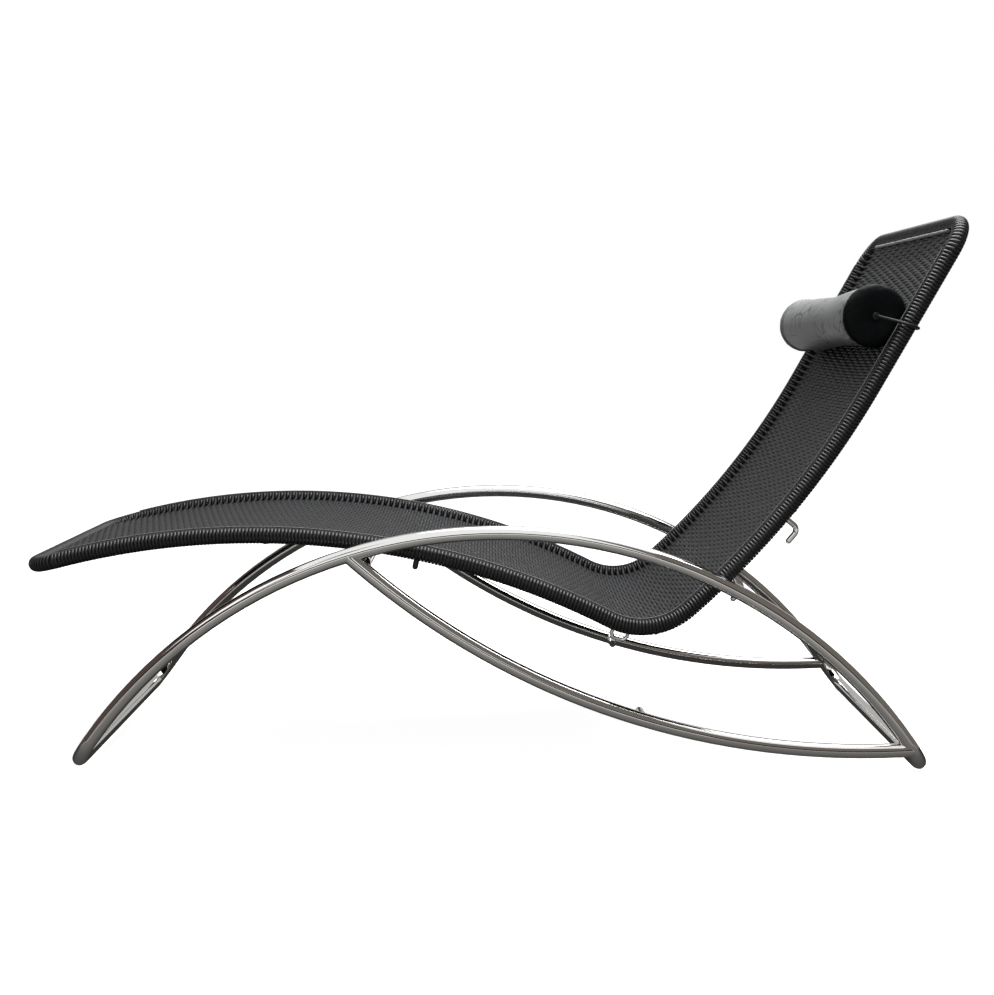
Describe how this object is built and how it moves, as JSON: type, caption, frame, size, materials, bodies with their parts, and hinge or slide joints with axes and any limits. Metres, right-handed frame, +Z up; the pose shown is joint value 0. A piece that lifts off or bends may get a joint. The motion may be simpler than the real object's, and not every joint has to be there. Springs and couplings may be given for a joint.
{
  "type": "cantilever lounge chair",
  "caption": "Chaise lounge with an S-curved woven shell hooked into a base of crossing chromed tube arches and rails, with a leather bolster headrest on an elastic cord.",
  "frame": {"origin": "centre of the chair's footprint, on the floor", "axes": "+X from the foot end to the head end, +Y across the width, +Z up"},
  "size_m": [1.633, 0.595, 0.9741],
  "materials": {
    "chrome": "mirror polished",
    "frame_paint": "satin black",
    "winding": "satin cord, tightly wound",
    "weave": "satin cord, woven",
    "cover_leather": "soft grey semi-gloss leather with fine creases",
    "cap_leather": "soft matt black leather",
    "foam": "soft filling",
    "elastic": "braided elastic cord",
    "eyelet": "black"
  },
  "bodies": {
    "base": {"near_arch_tube": "chrome", "near_rail_tube": "chrome", "near_arch_peg": "chrome", "near_rail_peg": "chrome", "far_arch_tube": "chrome", "far_rail_tube": "chrome", "far_arch_peg": "chrome", "far_rail_peg": "chrome", "floor_bar_sleeves": "chrome", "front_cross_bar": "chrome"},
    "shell": {"near_side_tube": "frame_paint", "near_side_winding": "winding", "near_lower_hook": "chrome", "near_upper_hook": "chrome", "near_seat_hoop": "chrome", "near_stop_peg": "frame_paint", "far_side_tube": "frame_paint", "far_side_winding": "winding", "far_lower_hook": "chrome", "far_upper_hook": "chrome", "far_seat_hoop": "chrome", "far_stop_peg": "frame_paint", "foot_bow_tube": "frame_paint", "head_bow_tube": "frame_paint", "foot_bow_winding": "winding", "head_bow_winding": "winding", "leg_stretcher": "frame_paint", "seat_stretcher": "frame_paint", "back_stretcher": "frame_paint", "leg_weave": "weave", "seat_weave": "weave", "back_weave": "weave"},
    "headrest": {"bolster_cover": "cover_leather", "bolster_core": "foam", "near_end_cap": "cap_leather", "far_end_cap": "cap_leather", "near_cord_eyelet": "eyelet", "far_cord_eyelet": "eyelet", "elastic_cord": "elastic"}
  },
  "joints": [
    {"name": "shell_lift", "type": "slide", "parent": "base", "child": "shell", "axis": [0.6915, 0, 0.7224], "range_m": [0, 0.12]},
    {"name": "headrest_height", "type": "slide", "parent": "shell", "child": "headrest", "axis": [0.4726, 0, 0.8813], "range_m": [-0.1, 0.12]}
  ]
}
